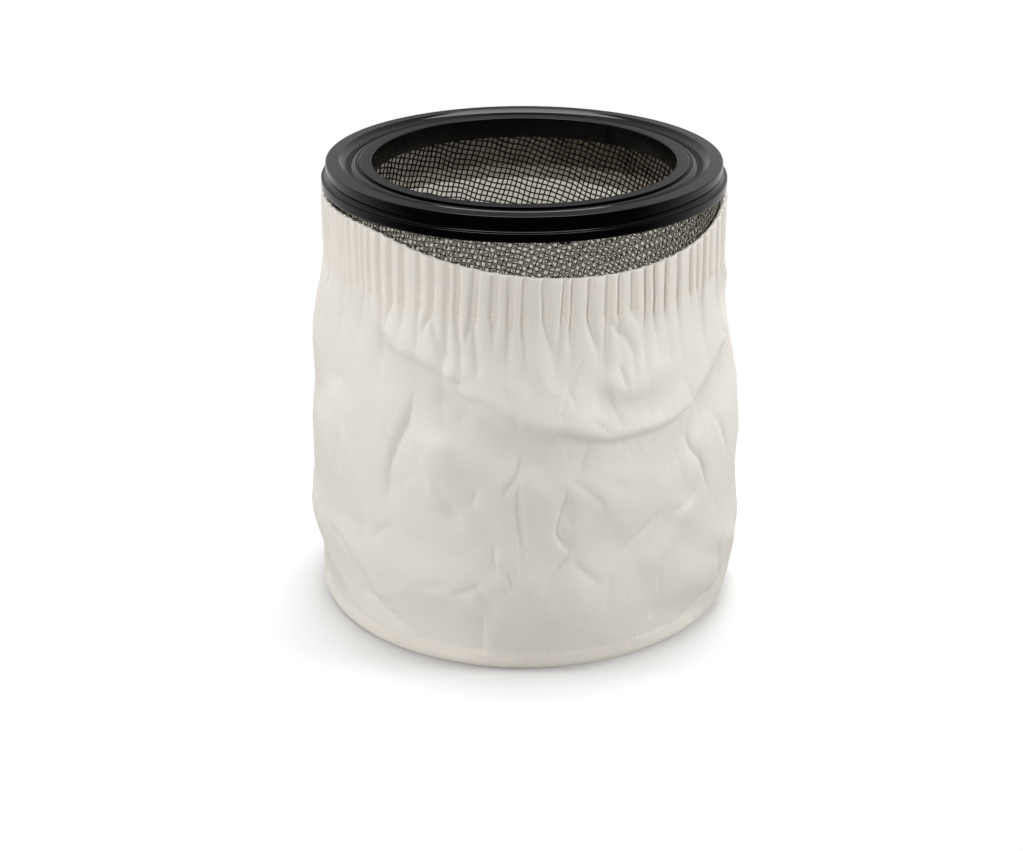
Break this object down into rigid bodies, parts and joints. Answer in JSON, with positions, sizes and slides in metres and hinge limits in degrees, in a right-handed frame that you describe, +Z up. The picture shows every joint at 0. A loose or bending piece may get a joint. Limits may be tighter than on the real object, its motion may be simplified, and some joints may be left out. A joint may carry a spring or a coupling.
{
  "type": "cage filter with cloth bag for a drum dust collector",
  "caption": "Round cage filter for a drum dust collector: moulded sealing ring, wire mesh cage and a loose gathered cloth bag over it.",
  "frame": {"origin": "centre of the bag's base, on the floor it stands on", "axes": "+Z up along the filter's axis, out of the ring's bore; -Y is the front, where the bag's mouth has slipped down; +X to the right seen from the front"},
  "size_m": [0.2942, 0.294, 0.305],
  "materials": {
    "ring_moulding": "satin black moulding",
    "sealant": "black sealant",
    "wire_mesh": "zinc-coated woven wire",
    "zinc_strip": "zinc-coated strip",
    "calico": "unbleached cotton",
    "elastic": "woven elastic",
    "thread": "polyester thread"
  },
  "bodies": {
    "cloth_bag": {"side_panel": "calico", "elastic_band": "elastic", "casing_stitching": "thread", "base_panel": "calico", "base_stitching": "thread", "side_seam_allowance": "calico", "side_seam_stitching": "thread"},
    "filter_cage": {"flange_ring": "ring_moulding", "top_hoop": "zinc_strip", "mesh_sealant": "sealant", "mesh_wall": "wire_mesh", "mesh_seam_strip": "zinc_strip", "bottom_rim": "zinc_strip", "bottom_clamp_ring": "zinc_strip", "mesh_base": "wire_mesh"}
  },
  "joints": [
    {"name": "cage_lift", "type": "slide", "parent": "cloth_bag", "child": "filter_cage", "axis": [0, 0, 1], "range_m": [0, 0.3]}
  ]
}
